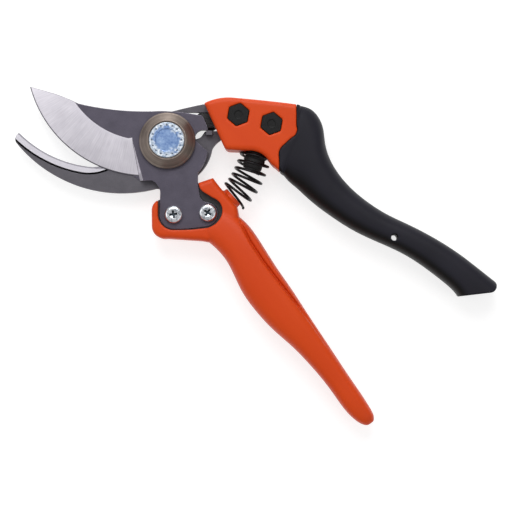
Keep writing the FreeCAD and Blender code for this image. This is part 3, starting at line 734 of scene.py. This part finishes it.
springLook = {"top": Vector((36.6, -4.6, 9)) * mm, "topWay": -109.0, "foot": Vector((26.3, -23.2, 9)) * mm,
              "footWay": 40.5, "gap": 0.75 * mm, "wire": 0.55 * mm, "radius": 6.2 * mm, "turns": 6,
              "pull": 6.8 * mm, "pointsPerTurn": 24}


def springPoint(share):
    # a point of the wire, wound about a middle line that bends from the block to its seat
    leave = flatWay(springLook["topWay"])
    back = flatWay(springLook["footWay"])
    start = springLook["top"] + leave * springLook["gap"]
    end = springLook["foot"] + back * springLook["gap"]
    after = start + leave * springLook["pull"]
    before = end + back * springLook["pull"]
    rest = 1 - share
    middle = start * rest ** 3 + after * 3 * rest ** 2 * share
    middle = middle + before * 3 * rest * share ** 2 + end * share ** 3
    way = (after - start) * rest ** 2 + (before - after) * 2 * rest * share + (end - before) * share ** 2
    way.normalize()
    radius = springLook["radius"]
    turn = 2 * math.pi * springLook["turns"] * share
    across = Vector((-way.y, way.x, 0))
    return middle + across * radius * math.cos(turn) + Vector((0, 0, radius * math.sin(turn)))


def makeSpring():
    count = round(springLook["turns"] * springLook["pointsPerTurn"])
    curve = bpy.data.curves.new("return_spring_wire", "CURVE")
    curve.dimensions = "3D"
    curve.bevel_depth = springLook["wire"]
    curve.bevel_resolution = 4
    curve.use_fill_caps = True
    line = curve.splines.new("POLY")
    line.points.add(count)
    for number in range(count + 1):
        line.points[number].co = (*springPoint(number / count), 1)
    spring = bpy.data.objects.new("black_return_spring", curve)
    bpy.context.scene.collection.objects.link(spring)
    pick(spring)
    bpy.ops.object.convert(target="MESH")
    spring = bpy.context.object
    editAll(spring)
    bpy.ops.mesh.remove_doubles(threshold=0.001 * mm)
    bpy.ops.mesh.normals_make_consistent(inside=False)
    leaveEdit()
    smoothBy(spring, 40)
    spring.data.materials.append(finishes["spring"])
    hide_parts("return_spring")
    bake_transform(spring)
    print("made", spring.name)


makeSpring()


# floor, light and camera

studio = {"aim": Vector((36.16, -47.07, 9)) * mm, "distance": 0.9, "sensor": 36.0, "field": 209.9 * mm,
          "tilt": 1.5, "lean": -1.5, "surround": 0.46,
          "floorSize": 4, "floorDrop": 0.3 * mm, "floorGlow": 0.72}

# name, place and size in metres, power in watts
lamps = [
    ("top_soft_box", (0.0, 0.5, 0.75), 0.6, 4.4),
    ("low_soft_box", (0.0, 0.95, 0.16), 0.5, 2.2),
    ("left_soft_box", (-0.7, 0.1, 0.7), 0.7, 1.3),
    ("right_soft_box", (0.7, -0.4, 0.8), 0.7, 0.9),
]


def makeFloor():
    bpy.ops.mesh.primitive_plane_add(size=studio["floorSize"], location=(0, 0, -studio["floorDrop"]))
    floor = bpy.context.object
    floor.name = "studio_floor"
    white = Finish("studio_floor", {"Roughness": 0.9, "Emission Color": (1, 1, 1, 1),
                                    "Emission Strength": studio["floorGlow"]})
    cloud = white.noise(white.place(), 0.004, 2)
    white.feed("Base Color", white.mix(cloud, paint(168, 168, 168), paint(172, 172, 172)))
    floor.data.materials.append(white.material)


def makeLight(name, place, aim, size, power):
    lamp = bpy.data.lights.new(name, "AREA")
    lamp.shape = "DISK"
    lamp.size = size
    lamp.energy = power
    light = bpy.data.objects.new(name, lamp)
    bpy.context.scene.collection.objects.link(light)
    light.location = place
    light.rotation_euler = (aim - Vector(place)).to_track_quat("-Z", "Y").to_euler()


def makeStudio():
    makeFloor()
    for name, place, size, power in lamps:
        makeLight(name, place, studio["aim"], size, power)
    world = bpy.data.worlds.new("studio")
    world.use_nodes = True
    world.node_tree.nodes["Background"].inputs[0].default_value = (1, 1, 1, 1)
    world.node_tree.nodes["Background"].inputs[1].default_value = studio["surround"]
    bpy.context.scene.world = world
    bpy.context.scene.view_settings.view_transform = "Standard"


def makeCamera():
    reach = studio["distance"]
    tilt, lean = math.radians(studio["tilt"]), math.radians(studio["lean"])
    offset = Vector((math.sin(tilt), math.sin(lean), 0)) * reach
    eye = studio["aim"] + offset + Vector((0, 0, math.sqrt(reach ** 2 - offset.length ** 2)))
    lens = bpy.data.cameras.new("camera")
    lens.sensor_width = studio["sensor"]
    lens.lens = studio["sensor"] * reach / studio["field"]
    camera = bpy.data.objects.new("camera", lens)
    bpy.context.scene.collection.objects.link(camera)
    look = (studio["aim"] - eye).normalized()
    right = look.cross(Vector((0, 1, 0))).normalized()
    above = right.cross(look)
    camera.matrix_world = Matrix((right, above, -look)).transposed().to_4x4()
    camera.location = eye
    bpy.context.scene.camera = camera


makeStudio()
makeCamera()
print("studio ready")
